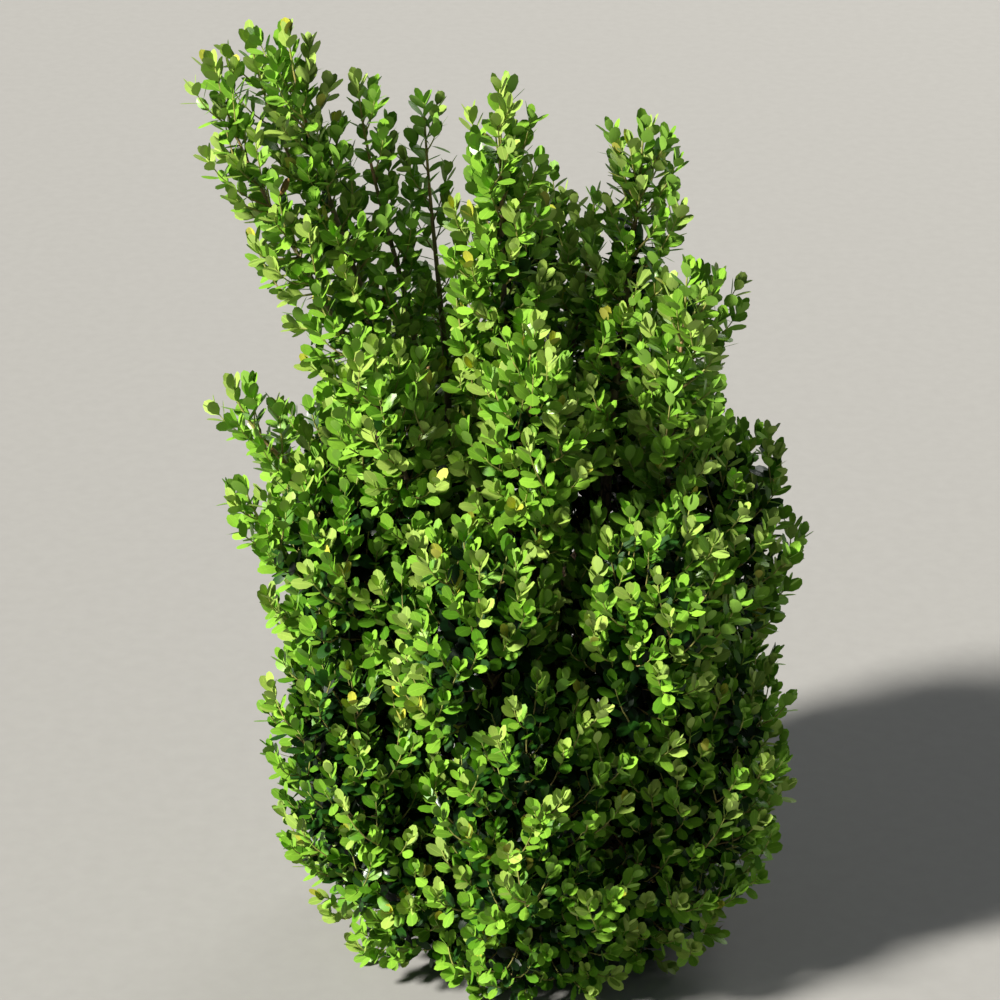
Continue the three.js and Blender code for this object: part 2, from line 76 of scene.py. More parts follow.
# Each leader's parent, how far up it starts, its bough's end, its growing tip and its spread
CROWN = dict(
    centre=("trunk", 0.97, (-26, 6, 430), (-32, 0, 782), 53),
    left=("trunk", 0.84, (-112, 14, 450), (-200, 22, 820), 50),
    right=("trunk", 0.9, (58, 14, 430), (84, 36, 737), 54),
    back=("trunk", 0.78, (0, 100, 410), (4, 140, 640), 66),
    left_outer=("left", 0.66, (-132, -8, 480), (-258, 16, 795), 42),
    left_inner=("left", 0.8, (-98, 48, 500), (-146, 34, 774), 28),
    left_front=("left", 0.5, (-98, -62, 410), (-132, -80, 590), 56),
    left_sprig=("left", 0.56, (-184, -22, 415), (-252, -12, 528), 32),
    centre_left=("centre", 0.78, (-76, 62, 470), (-94, 62, 750), 31),
    centre_front=("centre", 0.6, (-12, -78, 400), (-8, -96, 600), 62),
    right_outer=("right", 0.62, (104, -44, 405), (118, -34, 640), 44),
    right_far=("right", 0.5, (92, 46, 415), (148, 44, 602), 36),
    back_left=("back", 0.55, (-84, 108, 390), (-100, 136, 545), 62),
    back_right=("back", 0.5, (60, 84, 400), (92, 132, 575), 60),
    left_low=("left", 0.4, (-182, -44, 335), (-243, -34, 446), 34),
    centre_right=("centre", 0.62, (18, 56, 440), (46, 62, 666), 46),
    left_high=("left", 0.9, (-136, 58, 510), (-232, 52, 806), 32))
UPTURN = 0.6
LEADER_RADIUS = 8
SIDE_LIMB_RADIUS = 5.4
LIMB_TAPER = 0.58
LIMB_CLEAR = 1.2
LEAVING_RISE = 0.55
LEAVING_TURN = dict(trunk=0.85, limb=0.6)
WAVE_PART = dict(low=(0.34, 0.74), middle=(0.2, 0.74), crown=(0.3, 0.86))
SHARE_STEPS = 12
NEIGHBOUR_CLEAR = 0.035
GROUND_CLEAR = 2
STEM_TIP_RADIUS = 0.7
TWIG_LIMIT = dict(low=8, middle=6, crown=4)
SLENDER = 45
TWIG_LOWEST = dict(low=0.2, middle=0.34, crown=0.06)
TWIG_FACING = dict(low=0.66, middle=0.66, crown=1)
OUTWARD = -0.25
TWIG_RISE = 0.75
TWIG_STARTS = 0.03
TWIG_LEAST_RUN = 16
TWIG_LEAVING = (0.6, 0.8)
TWIG_ARRIVING = (0.7, 0.7)
TWIG_MARKS = 8
TWIG_NEAR_MARKS = 3
ROOM_STEP = 4
FAN_START = 0.5
FAN = 2.4
LEAF_REACH = 18
EVEN_A = 0.7548776662
EVEN_B = 0.569840291

# How the rule is carried on to finer twigs
FINE_TRIES = 340
FINE_LOWEST = 0.04
FINE_FACING = 0.92
FINE_REACH = (0.56, 1)  # of the room a twig has, so that the leaves stand in clumps with hollows
FINE_ARRIVING = (1.1, 0.6)
FINE_LEAF_REACH = 7
TIP_SPACING = 25  # between growing tips
# Side shoots from a stem or twig: how far apart they start, on what part of it, how long they
# are, how they aim along it, out from it and up, how far their tips keep from other tips and from
# the edge of the mass's space, and how far above the tip of the mass's stem they may rise
BODY_STEM = dict(
    step=15, part=(0.5, 0.96), length=(40, 74), aim=(0.5, 0.7, 0.5),
    apart=16, margin=4, above=40)
SIDE_SHOOTS = dict(
    low=BODY_STEM,
    middle=BODY_STEM,
    crown=dict(
        step=9, part=(0.04, 0.98), length=(26, 80), aim=(0.85, 0.7, 0.4),
        apart=16, margin=-6, above=-5),
    twig=dict(
        step=13, part=(0.4, 0.94), length=(28, 60), aim=(0.5, 0.65, 0.75),
        apart=17.5, margin=4, above=40))
SIDE_LEAST = 9  # the shortest side shoot
TWIG_RADII = (1.25, 0.55)
SIDE_RADII = (0.85, 0.5)

# Leaves stand in crossed pairs, from each growing tip down
LEAFY = dict(low=100, middle=100, crown=280, twig=72, side=52)  # how far down the leaves stay on
PAIR_AT = (1.5, 6, 13, 22)  # from the tip, then one pair each PAIR_STEP
PAIR_STEP = 9.8
PAIR_STEP_RANGE = (0.85, 1.15)
PAIR_SIZE = dict(stem=(0.9, 1.04, 1.08), twig=(0.84, 1, 1.04), side=(0.82, 0.97, 1))  # from the tip
# By the distance from the tip: degrees off the shoot, and a blade's fold and arch in its lengths
PAIR_OPEN = ((0, 8, 20, 45, 80), (19, 31, 41, 50, 60))
FOLD = ((0, 12, 30), (0.12, 0.04, -0.06))
ARCH = ((0, 15, 40), (-0.08, 0.05, 0.14))
LEAF_LENGTH = dict(low=16.8, middle=17.6, crown=18)
LENGTH_RANGE = (0.84, 1.12)
LEAF_WIDTH = 0.58
WIDTH_RANGE = (0.86, 1.1)
SUNWARD = 0.5  # how far a leaf turns its face up and outward
STRAY = dict(turn=0.16, open=0.15, ahead=0.11, face=0.17, fold=0.06, arch=0.06)
LEAF_THICKNESS = 0.02
# Half a leaf's outline in shares of its length and width, and the midrib's lower and upper corner
RIM = ((0.09, 0.08), (0.32, 0.39), (0.63, 0.5), (0.89, 0.33))
RIM_LOWER = 3  # so many edges of each half rim join the lower corner
MIDRIB = (0.34, 0.7)
BARE_DEPTH = 76  # deeper inside, the twigs have shed their leaves
LEAST_HEIGHT = 1
PROUD_SHARE = 0.02  # how far leaves stand proud of the CAD box: a share of each side, and metres
PROUD = 0.007
LEAF_SEED = 2312
DEPTH_PARTS = 60  # leaves are measured in this many parts, to spare memory

UP = np.array((0.0, 0.0, 1.0))


def mix(a, b, share):
    return a + (b - a) * share


def unit(vector):
    return vector / np.linalg.norm(vector, axis=-1, keepdims=True)


def first_roll(seed):
    """The first number of the source's row of numbers for this seed."""
    whole = 0xFFFFFFFF
    state = (seed + 0x6D2B79F5) & whole
    mixed = ((state ^ (state >> 15)) * (state | 1)) & whole
    mixed ^= (mixed + (((mixed ^ (mixed >> 7)) * (mixed | 61)) & whole)) & whole
    return ((mixed ^ (mixed >> 14)) & whole) / (whole + 1)


# Ways: the four control places of a smooth curve

def sweep(start, leaving, end, arriving):
    start, end = np.asarray(start, float), np.asarray(end, float)
    pull = np.linalg.norm(end - start) / 3
    return np.array((start, start + pull * leaving, end - pull * arriving, end))


def place_on(way, share):
    s = np.asarray(share, float)[..., None]
    r = 1 - s
    return r**3 * way[0] + 3 * r * r * s * way[1] + 3 * r * s * s * way[2] + s**3 * way[3]


def heading_on(way, share):
    s = np.asarray(share, float)[..., None]
    r = 1 - s
    return unit(r * r * (way[1] - way[0]) + 2 * r * s * (way[2] - way[1]) + s * s * (way[3] - way[2]))


def length_of(way):
    places = place_on(way, np.linspace(0, 1, 33))
    return np.linalg.norm(np.diff(places, axis=0), axis=1).sum()


def across(way, share):
    """Two directions across a way: one level, one square to it and to the way."""
    along = heading_on(way, share)
    chord = way[3] - way[0]
    level = np.array((chord[1], -chord[0], 0.0))
    if np.linalg.norm(level) < MM:
        level = np.array((1.0, 0.0, 0.0))
    side = unit(level - along * (along @ level)[..., None])
    return along, side, np.cross(side, along)


def round_way(way, share, angle):
    """The way's own direction at a share, and the one out from it at an angle round it."""
    along, side, other = across(way, share)
    return along, math.cos(angle) * side + math.sin(angle) * other


# Limbs and masses, as in the source

limbs = {}
masses = []


def add_trunk():
    lean = unit(mix(UP, unit(np.array(TRUNK_TOP, float)), TRUNK_LEAN))
    way = sweep((0, 0, 0), UP, TRUNK_TOP, lean)
    limbs["trunk"] = dict(way=way, radius=TRUNK_RADIUS, tip=TRUNK_TOP_RADIUS)


def add_bough(name, parent, at, foot, heading, radius):
    start = place_on(limbs[parent]["way"], at)
    away = unit(np.asarray(foot, float) - start)
    away[2] *= LEAVING_RISE
    turned = LEAVING_TURN["trunk" if parent == "trunk" else "limb"]
    leaving = unit(mix(heading_on(limbs[parent]["way"], at), unit(away), turned))
    way = sweep(start, leaving, foot, heading)
    limbs[name] = dict(way=way, radius=radius, tip=radius * LIMB_TAPER)


def add_mass(kind, start, leaving, tip, heading, spread, radius):
    way = sweep(start, leaving, tip, heading)
    masses.append(dict(
        kind=kind, way=way, length=length_of(way), spread=spread, radius=radius,
        seed=len(masses) + 1, index=len(masses)))


def width_on(mass, share):
    start, end = WAVE_PART[mass["kind"]]
    return mass["spread"] * np.sin(np.pi * mix(start, end, share))


def ring_place(turn, reach, height):
    angle = 2 * math.pi * turn
    centre = BODY_CENTRE_X * min(1, height / BODY_CENTRE_HEIGHT)
    return np.array((centre + reach * math.cos(angle), BODY_DEPTH * reach * math.sin(angle), height))


def ring_heading(turn, outward):
    place = ring_place(turn, outward, 0)
    place[2] = 1
    return unit(place)


def ring_tip(ring, turn):
    wave = math.cos(2 * math.pi * ring["waves"] * (turn - ring["turn"]))
    return ring_place(turn, ring["reach"], ring["height"] + RING_WAVE * wave)


def add_low_ring():
    ring = LOW_RING
    for i in range(ring["count"]):
        turn = ring["turn"] + i / ring["count"]
        at = (ring["leaves_at"] + ring["climb"] * (i % 2)) / TRUNK_TOP[2]
        leaving = ring_place(turn, 1, 0)
        leaving[2] = ring["slope"]
        add_mass("low", place_on(limbs["trunk"]["way"], at), unit(leaving), ring_tip(ring, turn),
                 ring_heading(turn, ring["heading"]), ring["spread"], ring["radius"])


def add_middle_ring():
    ring = MIDDLE_RING
    for i in range(ring["count"]):
        turn = ring["turn"] + i / ring["count"]
        at = (ring["leaves_at"] + ring["climb"] * (i % 2)) / TRUNK_TOP[2]
        foot = ring_place(turn, ring["foot_reach"], ring["foot_height"])
        heading = ring_heading(turn, ring["heading"])
        add_bough(f"middle_{i + 1}", "trunk", at, foot, heading, ring["radius"])
        add_mass("middle", foot, heading, ring_tip(ring, turn), heading, ring["spread"],
                 ring["radius"] * LIMB_TAPER)


def add_crown():
    for name, (parent, at, foot, tip, spread) in CROWN.items():
        foot, tip = np.array(foot, float), np.array(tip, float)
        heading = unit(mix(unit(tip - foot), UP, UPTURN))
        radius = LEADER_RADIUS if parent == "trunk" else SIDE_LIMB_RADIUS
        add_bough(name, parent, at, foot, heading, radius)
        add_mass("crown", foot, heading, tip, heading, spread, radius * LIMB_TAPER)


add_trunk()
add_low_ring()
add_middle_ring()
add_crown()

# How far out a place lies from the measured ways of the masses and limbs

MARK_SHARES = np.linspace(0, 1, SHARE_STEPS + 1)


def measured(ways, widths):
    places = np.array([place_on(way, MARK_SHARES) for way in ways])
    widths = np.array(widths)
    return (places[:, :-1].reshape(-1, 3), np.diff(places, axis=1).reshape(-1, 3),
            widths[:, :-1].reshape(-1), np.diff(widths, axis=1).reshape(-1))


def limb_radius(name, share, turn):
    """A limb's radius, with the root flare and its lobes at the foot of the main stem."""
    limb = limbs[name]
    radius = mix(limb["radius"], limb["tip"], share)
    if name != "trunk":
        return radius + 0 * turn
    flare = np.exp(-share * TRUNK_TOP[2] / FLARE_HEIGHT)
    return (radius + FLARE * flare) * (1 + LOBE_DEPTH * flare * np.cos(FLARE_LOBES * turn))


mass_marks = measured(
    [mass["way"] for mass in masses],
    [width_on(mass, MARK_SHARES) for mass in masses])
limb_marks = measured(
    [limb["way"] for limb in limbs.values()],
    [limb_radius(name, MARK_SHARES, 0) + LIMB_CLEAR for name in limbs])


def shares_of(marks, places):
    """How far out each place lies from each way, as a share, 0 on it and 1 at its width, and in
    millimetres beyond its width."""
    starts, spans, widths, grows = marks
    offset = places[:, None, :] - starts[None]
    along = np.clip((offset * spans).sum(2) / (spans * spans).sum(1), 0, 1)
    distance = np.linalg.norm(offset - along[..., None] * spans, axis=2)
    width = widths + grows * along
    share = (distance / width).reshape(len(places), -1, SHARE_STEPS)
    beyond = (distance - width).reshape(len(places), -1, SHARE_STEPS)
    best = share.argmin(2)[..., None]
    return np.take_along_axis(share, best, 2)[..., 0], np.take_along_axis(beyond, best, 2)[..., 0]


def in_space(mass, places, most=0.0):
    """Whether places are in a mass's own space, clear of its neighbours, limbs and the ground."""
    share, beyond = shares_of(mass_marks, places)
    own = share[:, mass["index"]]
    others = np.delete(share, mass["index"], axis=1).min(1)
    clear = shares_of(limb_marks, places)[0].min(1) >= 1
    inside = beyond[:, mass["index"]] <= most
    return inside & (others >= own + NEIGHBOUR_CLEAR) & clear & (places[:, 2] >= GROUND_CLEAR)


def room_for(mass, start, out, most, beyond=0.0):
    runs = np.arange(0, most, ROOM_STEP)
    if len(runs) == 0:
        return 0
    fits = in_space(mass, start + out * (runs[:, None] + ROOM_STEP), beyond)
    return most if fits.all() else runs[fits.argmin()]


# Shoots: the masses' stems, their twigs and the side shoots on both

def twig_at(mass, phase, n, lowest, facing, reach, turned, leaf_reach):
    """Twig n of the source's rule."""
    way = mass["way"]
    share = mix(lowest, 1, (phase + n * EVEN_A) % 1)
    angle = 2 * math.pi * (facing * ((phase + n * EVEN_B) % 1 - 0.5) + OUTWARD)
    tilt = FAN * max(0, share - FAN_START)
    along, out = round_way(way, share, angle)
    out = math.cos(tilt) * out + math.sin(tilt) * along
    run = room_for(mass, place_on(way, share), out, width_on(mass, share) - leaf_reach) * reach
    if run < TWIG_LEAST_RUN:
        return None
    tip = place_on(way, share) + out * run
    level = max(0, min(1, 1 + out[2]))
    start = max(TWIG_STARTS, share - TWIG_RISE * level * run / mass["length"])
    leaving = unit(TWIG_LEAVING[0] * level * heading_on(way, start) + TWIG_LEAVING[1] * out)
    arriving = unit(turned[0] * level * UP + turned[1] * out)
    twig = sweep(place_on(way, start), leaving, tip, arriving)
    marks = place_on(twig, np.linspace(0, 1, TWIG_MARKS + 1)[TWIG_NEAR_MARKS:])
    return twig if in_space(mass, marks).all() else None


def near_tips(place, spacing):
    return (np.linalg.norm(np.array(tips) - place, axis=1) < spacing).any()


def add_shoot(mass, kind, leafy, way, radii):
    shoots.append(dict(
        way=way, base=radii[0], tip=radii[1], kind=kind, leafy=leafy, length=length_of(way),
        spread=mass["spread"], leaf=LEAF_LENGTH[mass["kind"]]))
    tips.append(way[3])


def add_twigs(mass, rng):
    """The source's twigs, then finer ones between them from the same rows of shares."""
    phase = first_roll(mass["seed"])
    kind = mass["kind"]
    limit = TWIG_LIMIT[kind] * (0.5 if mass["spread"] <= SLENDER else 1)
    found = []
    for n in range(FINE_TRIES):
        if len(found) < limit:
            lowest, facing = TWIG_LOWEST[kind], TWIG_FACING[kind]
            way = twig_at(mass, phase, n, lowest, facing, 1, TWIG_ARRIVING, LEAF_REACH)
        else:
            lowest = min(TWIG_LOWEST[kind], FINE_LOWEST)
            facing = max(TWIG_FACING[kind], FINE_FACING)
            reach = rng.uniform(*FINE_REACH)
            way = twig_at(mass, phase, n, lowest, facing, reach, FINE_ARRIVING, FINE_LEAF_REACH)
            if way is not None and near_tips(way[3], TIP_SPACING):
                way = None
        if way is not None:
            found.append(way)
            add_shoot(mass, "twig", LEAFY["twig"], way, TWIG_RADII)
    return found


def add_side_shoots(mass, way, rule, rng):
    """Side shoots by turns round a stem or twig, each bending upright."""
    turn = rng.uniform(0, 1)
    low, high = rule["part"]
    for order, share in enumerate(np.arange(high, low, -rule["step"] / length_of(way))):
        along, out = round_way(way, share, 2 * math.pi * (turn + order * 0.25 + rng.integers(2) / 2))
        aim = unit(rule["aim"][0] * along + rule["aim"][1] * out + rule["aim"][2] * UP)
        start = place_on(way, share)
        rise = (mass["way"][3, 2] + rule["above"] - start[2]) / aim[2]
        run = min(rise, room_for(mass, start, aim, rng.uniform(*rule["length"]), -rule["margin"]))
        if run >= SIDE_LEAST and not near_tips(start + aim * run, rule["apart"]):
            shoot = sweep(start, unit(along + out), start + aim * run, unit(aim + UP))
            add_shoot(mass, "side", LEAFY["side"], shoot, SIDE_RADII)


shoots = []
tips = []
for mass in masses:
    add_shoot(mass, "stem", LEAFY[mass["kind"]], mass["way"], (mass["radius"], STEM_TIP_RADIUS))
for mass in masses:
    rng = np.random.default_rng(mass["seed"])
    twigs = add_twigs(mass, rng)
    for twig in twigs:
        add_side_shoots(mass, twig, SIDE_SHOOTS["twig"], rng)
    add_side_shoots(mass, mass["way"], SIDE_SHOOTS[mass["kind"]], rng)


# Leaves

def pairs_on(shoot, rng):
    """How far from the growing tip each pair of leaves stands."""
    reach = min(shoot["leafy"], shoot["length"] - PAIR_STEP / 2)
    steps = PAIR_STEP * rng.uniform(*PAIR_STEP_RANGE, int(shoot["leafy"] / PAIR_STEP))
    at = np.concatenate((PAIR_AT, PAIR_AT[-1] + np.cumsum(steps)))
    return at[at < reach]


def pair_of(shoot, spray, rng):
    """Both leaves of every pair on a shoot."""
    at = pairs_on(shoot, rng)
    count = len(at)
    share = 1 - at / shoot["length"]
    root = place_on(shoot["way"], share)
    sunward = unit(root * (1, 1, 0) - (BODY_CENTRE_X, 0, 0)) + UP
    along, side, other = across(shoot["way"], share)
    turn = rng.uniform(0, 2 * math.pi) + np.arange(count) * math.pi / 2
    turn = turn + rng.normal(0, STRAY["turn"], count)
    for half in (0, math.pi):
        out = np.cos(turn + half)[:, None] * side + np.sin(turn + half)[:, None] * other
        opened = (np.radians(np.interp(at, *PAIR_OPEN)) + rng.normal(0, STRAY["open"], count))[:, None]
        ahead = np.cos(opened) * along + np.sin(opened) * out
        ahead = unit(ahead + STRAY["ahead"] * rng.normal(0, 1, ahead.shape))
        face = np.sin(opened) * along - np.cos(opened) * out
        face = face + SUNWARD * sunward + STRAY["face"] * rng.normal(0, 1, face.shape)
        face = unit(face - ahead * (face * ahead).sum(1, keepdims=True))
        sizes = PAIR_SIZE[shoot["kind"]]
        size = np.interp(np.arange(count), range(len(sizes)), sizes)
        yield dict(
            root=root, along=ahead, face=face,
            size=shoot["leaf"] * size * rng.uniform(*LENGTH_RANGE, count),
            width=LEAF_WIDTH * rng.uniform(*WIDTH_RANGE, count),
            fold=np.interp(at, *FOLD) + rng.normal(0, STRAY["fold"], count),
            arch=np.interp(at, *ARCH) + rng.normal(0, STRAY["arch"], count),
            age=at, spray=np.full(count, spray))


rng = np.random.default_rng(LEAF_SEED)
halves = [half for spray, shoot in enumerate(shoots) for half in pair_of(shoot, spray, rng)]
leaves = {name: np.concatenate([half[name] for half in halves]) for name in halves[0]}

# A leaf's corners: its rim from the root round the tip, then its midrib above and below
RIM_PLACES = [(0.0, 0.0), *RIM, (1.0, 0.0), *((x, -y) for x, y in RIM[::-1])]
RIM_COUNT = len(RIM_PLACES)
FLAT = np.array(RIM_PLACES + [(x, 0.0) for x in MIDRIB] * 2)
LIFT = np.array([0.0] * RIM_COUNT + [0.5] * len(MIDRIB) + [-0.5] * len(MIDRIB)) * LEAF_THICKNESS
LEAF_CORNERS = len(FLAT)


def leaf_places():
    size = leaves["size"][:, None]
    wide = np.cross(leaves["face"], leaves["along"])
    x = FLAT[None, :, 0]
    y = FLAT[None, :, 1] * leaves["width"][:, None]
    z = LIFT + np.abs(y) * leaves["fold"][:, None] - leaves["arch"][:, None] * x * x
    return (leaves["root"][:, None] + (x * size)[..., None] * leaves["along"][:, None]
            + (y * size)[..., None] * wide[:, None] + (z * size)[..., None] * leaves["face"][:, None])


def leaf_faces():
    """Both sides' triangles: each rim edge with the nearer midrib corner, and one more a side."""
    lower, upper = RIM_COUNT, RIM_COUNT + 1
    back = RIM_COUNT - RIM_LOWER
    top = []
    for i in range(RIM_COUNT):
        near = lower if i < RIM_LOWER or i >= back else upper
        top.append((i, (i + 1) % RIM_COUNT, near))
    top += [(RIM_LOWER, upper, lower), (back, lower, upper)]
    below = [tuple(i + 2 if i >= RIM_COUNT else i for i in face[::-1]) for face in top]
    return np.array(top), np.array(below)


TOP_FACES, LOW_FACES = leaf_faces()
LEAF_FACES = np.concatenate((TOP_FACES, LOW_FACES))

places = leaf_places()
slack = (cad_high - cad_low) * PROUD_SHARE + PROUD
lowest = np.maximum((cad_low - slack) / MM, (-np.inf, -np.inf, LEAST_HEIGHT))
highest = (cad_high + slack) / MM
middle = places[:, -1]
depth = np.concatenate([
    -shares_of(mass_marks, part)[1].min(1) for part in np.array_split(middle, DEPTH_PARTS)])
kept = ((places > lowest) & (places < highest)).all((1, 2)) & (depth < BARE_DEPTH)


# Meshes

def new_piece(name, corners, faces):
    mesh = bpy.data.meshes.new(name)
    mesh.vertices.add(len(corners))
    mesh.vertices.foreach_set("co", np.ascontiguousarray(corners * MM, np.float32).ravel())
    mesh.loops.add(faces.size)
    mesh.loops.foreach_set("vertex_index", np.ascontiguousarray(faces, np.int32).ravel())
    mesh.polygons.add(len(faces))
    starts = np.arange(0, faces.size, faces.shape[1], dtype=np.int32)
    mesh.polygons.foreach_set("loop_start", starts)
    mesh.update(calc_edges=True)
    mesh.shade_smooth()
    piece = bpy.data.objects.new(name, mesh)
    bpy.context.scene.collection.objects.link(piece)
    return piece


def point_values(piece, name, values):
    layer = piece.data.attributes.new(name, "FLOAT", "POINT")
    layer.data.foreach_set("value", np.ascontiguousarray(values, np.float32).ravel())


def leaf_piece(name, chosen, tones):
    count = len(chosen)
    faces = (np.arange(count)[:, None, None] * LEAF_CORNERS + LEAF_FACES[None]).reshape(-1, 3)
    piece = new_piece(name, places[chosen].reshape(-1, 3), faces)
    mesh = piece.data
    uv = FLAT[LEAF_FACES] + (0.0, 0.5)
    uv[len(TOP_FACES):, :, 1] += 2
    layer = mesh.uv_layers.new(name="leaf")
    layer.data.foreach_set("uv", np.tile(uv.reshape(-1), count).astype(np.float32))
    point_values(piece, "tone", np.repeat(tones, LEAF_CORNERS))
    edges = np.zeros(len(mesh.edges) * 2, np.int32)
    mesh.edges.foreach_get("vertices", edges)
    on_rim = (edges.reshape(-1, 2) % LEAF_CORNERS < RIM_COUNT).all(1)
    layer = mesh.attributes.get("sharp_edge") or mesh.attributes.new("sharp_edge", "BOOLEAN", "EDGE")
    layer.data.foreach_set("value", on_rim)
    return piece


def tube_corners(way, radius):
    """Rings round a way, then the middles of its tip and of its base."""
    steps, sides = radius.shape
    rings = np.linspace(0, 1, steps)
    turns = np.arange(sides) * 2 * math.pi / sides
    along, side, other = across(way, rings)
    middle = place_on(way, rings)
    spread = np.cos(turns)[:, None] * side[:, None] + np.sin(turns)[:, None] * other[:, None]
    ring = middle[:, None] + radius[..., None] * spread
    tip = middle[-1:] + along[-1:] * radius[-1].min()
    return np.concatenate((ring.reshape(-1, 3), tip, middle[:1]))


def tube_faces(steps, sides):
    grids = np.meshgrid(np.arange(steps - 1), np.arange(sides), indexing="ij")
    ring, turn = (grid.ravel() for grid in grids)
    after = (turn + 1) % sides
    a, b = ring * sides + turn, ring * sides + after
    c, d = b + sides, a + sides
    edge = np.arange(sides)
    following = (edge + 1) % sides
    last = (steps - 1) * sides
    tip, base = np.full(sides, steps * sides), np.full(sides, steps * sides + 1)
    return np.concatenate((
        np.stack((a, c, b), -1), np.stack((a, d, c), -1),
        np.stack((tip, last + following, last + edge), -1), np.stack((base, edge, following), -1)))


def tube_piece(name, ways, radii):
    """Closed tubes along ways, from each one's radius by ring and side."""
    corners = np.array([tube_corners(way, radius) for way, radius in zip(ways, radii)])
    corners[..., 2] = np.maximum(corners[..., 2], 0)
    one = tube_faces(*radii[0].shape)
    faces = (np.arange(len(ways))[:, None, None] * corners.shape[1] + one[None]).reshape(-1, 3)
    return new_piece(name, corners.reshape(-1, 3), faces)


# Materials

def rgb(red, green, blue):
    return (red, green, blue, 1.0)


def node(tree, kind, inputs=None, **settings):
    """A new node with its settings. An input is a number, a colour or the socket that feeds it."""
    made = tree.nodes.new(kind)
    for name, value in settings.items():
        setattr(made, name, value)
    for name, value in (inputs or {}).items():
        if isinstance(value, bpy.types.NodeSocket):
            tree.links.new(value, made.inputs[name])
        else:
            made.inputs[name].default_value = value
    return made


def maths(tree, operation, *values):
    made = node(tree, "ShaderNodeMath", dict(enumerate(values)), operation=operation)
    return made.outputs[0]


def mixed(tree, factor, first, second, blend="MIX"):
    sockets = {0: factor, 6: first, 7: second}
    return node(tree, "ShaderNodeMix", sockets, data_type="RGBA", blend_type=blend).outputs[2]


def ranged(tree, value, low, high, new_low=0.0, new_high=1.0):
    sockets = {
        "Value": value, "From Min": low, "From Max": high, "To Min": new_low, "To Max": new_high}
    return node(tree, "ShaderNodeMapRange", sockets).outputs["Result"]


def noise_at(tree, vector, scale, detail):
    sockets = dict(Vector=vector, Scale=scale, Detail=detail)
    return node(tree, "ShaderNodeTexNoise", sockets).outputs["Fac"]


def object_place(tree):
    return tree.nodes.new("ShaderNodeTexCoord").outputs["Object"]


def new_material(name):
    material = bpy.data.materials.new(name)
    material.use_nodes = True
    return material, material.node_tree, material.node_tree.nodes["Principled BSDF"]


def feed(tree, shader, height, strength, distance, **inputs):
    """Feeds a shader's inputs, and its normal from a height."""
    bump = node(tree, "ShaderNodeBump", dict(Height=height, Strength=strength, Distance=distance))
    inputs["Normal"] = bump.outputs["Normal"]
    for name, value in inputs.items():
        socket = shader.inputs[name.replace("_", " ")]
        if isinstance(value, bpy.types.NodeSocket):
            tree.links.new(value, socket)
        else:
            socket.default_value = value


# The leaf pattern across a blade one wide: the midrib's half-width, where the margin starts, and
# how strong they and the mottling are. Then what they multiply the tint by.
MIDRIB_HALF = 0.04
MARGIN_FROM = 0.38
MIDRIB_STRENGTH = 0.55
MARGIN_STRENGTH = 0.4
MOTTLE_SCALE = 420.0
MOTTLE_STRENGTH = 0.25
PALE = (1.55, 1.4, 1.5)
LIGHT = (1.25, 1.2, 1.1)
DARK = (0.68, 0.72, 0.7)
LEAF_ROUGHNESS = (0.42, 0.62)  # above and below
LEAF_COAT_ROUGHNESS = 0.17
LEAF_SPECULAR = 0.14


def leaf_group():
    """The leaf pattern: a pale midrib and margin, soft mottling and a dull underside."""
    tree = bpy.data.node_groups.new("leaf_surface", "ShaderNodeTree")
    for name in ("Tint", "Under"):
        tree.interface.new_socket(name, in_out="INPUT", socket_type="NodeSocketColor")
    tree.interface.new_socket("Color", in_out="OUTPUT", socket_type="NodeSocketColor")
    for name in ("Roughness", "Height"):
        tree.interface.new_socket(name, in_out="OUTPUT", socket_type="NodeSocketFloat")
    start = tree.nodes.new("NodeGroupInput")
    tint = start.outputs["Tint"]
    uv = node(tree, "ShaderNodeUVMap", uv_map="leaf").outputs["UV"]
    side = node(tree, "ShaderNodeSeparateXYZ", {0: uv}).outputs["Y"]
    below = ranged(tree, side, 1.4, 1.6)
    off = maths(tree, "ABSOLUTE", maths(tree, "SUBTRACT", maths(tree, "WRAP", side, 1.5, -0.5), 0.5))
    midrib = ranged(tree, off, 0.0, MIDRIB_HALF, MIDRIB_STRENGTH, 0.0)
    margin = ranged(tree, off, MARGIN_FROM, 0.5, 0.0, MARGIN_STRENGTH)
    tone = node(tree, "ShaderNodeAttribute", attribute_name="tone").outputs["Fac"]
    noise = noise_at(tree, object_place(tree), MOTTLE_SCALE, 2.0)
    mottled = ranged(tree, noise, 0.3, 0.7, 0.0, MOTTLE_STRENGTH)
    pale, light, dark = (
        mixed(tree, 1.0, tint, rgb(*factor), "MULTIPLY") for factor in (PALE, LIGHT, DARK))
    blade = mixed(tree, mottled, mixed(tree, tone, dark, light), dark)
    above = mixed(tree, margin, mixed(tree, midrib, blade, pale), pale)
    node(tree, "NodeGroupOutput", dict(
        Color=mixed(tree, below, above, start.outputs["Under"]),
        Roughness=ranged(tree, below, 0.0, 1.0, *LEAF_ROUGHNESS),
        Height=maths(tree, "ADD", midrib, mottled)))
    return tree


leaf_surface = leaf_group()


def leaf_material(name, tint, under, coat):
    material, tree, shader = new_material(name)
    group = node(tree, "ShaderNodeGroup", node_tree=leaf_surface)
    group.inputs["Tint"].default_value = tint
    group.inputs["Under"].default_value = under
    feed(tree, shader, group.outputs["Height"], 0.3, 0.0004,
         Base_Color=group.outputs["Color"], Roughness=group.outputs["Roughness"],
         Coat_Weight=coat, Coat_Roughness=LEAF_COAT_ROUGHNESS, Specular_IOR_Level=LEAF_SPECULAR)
    return material


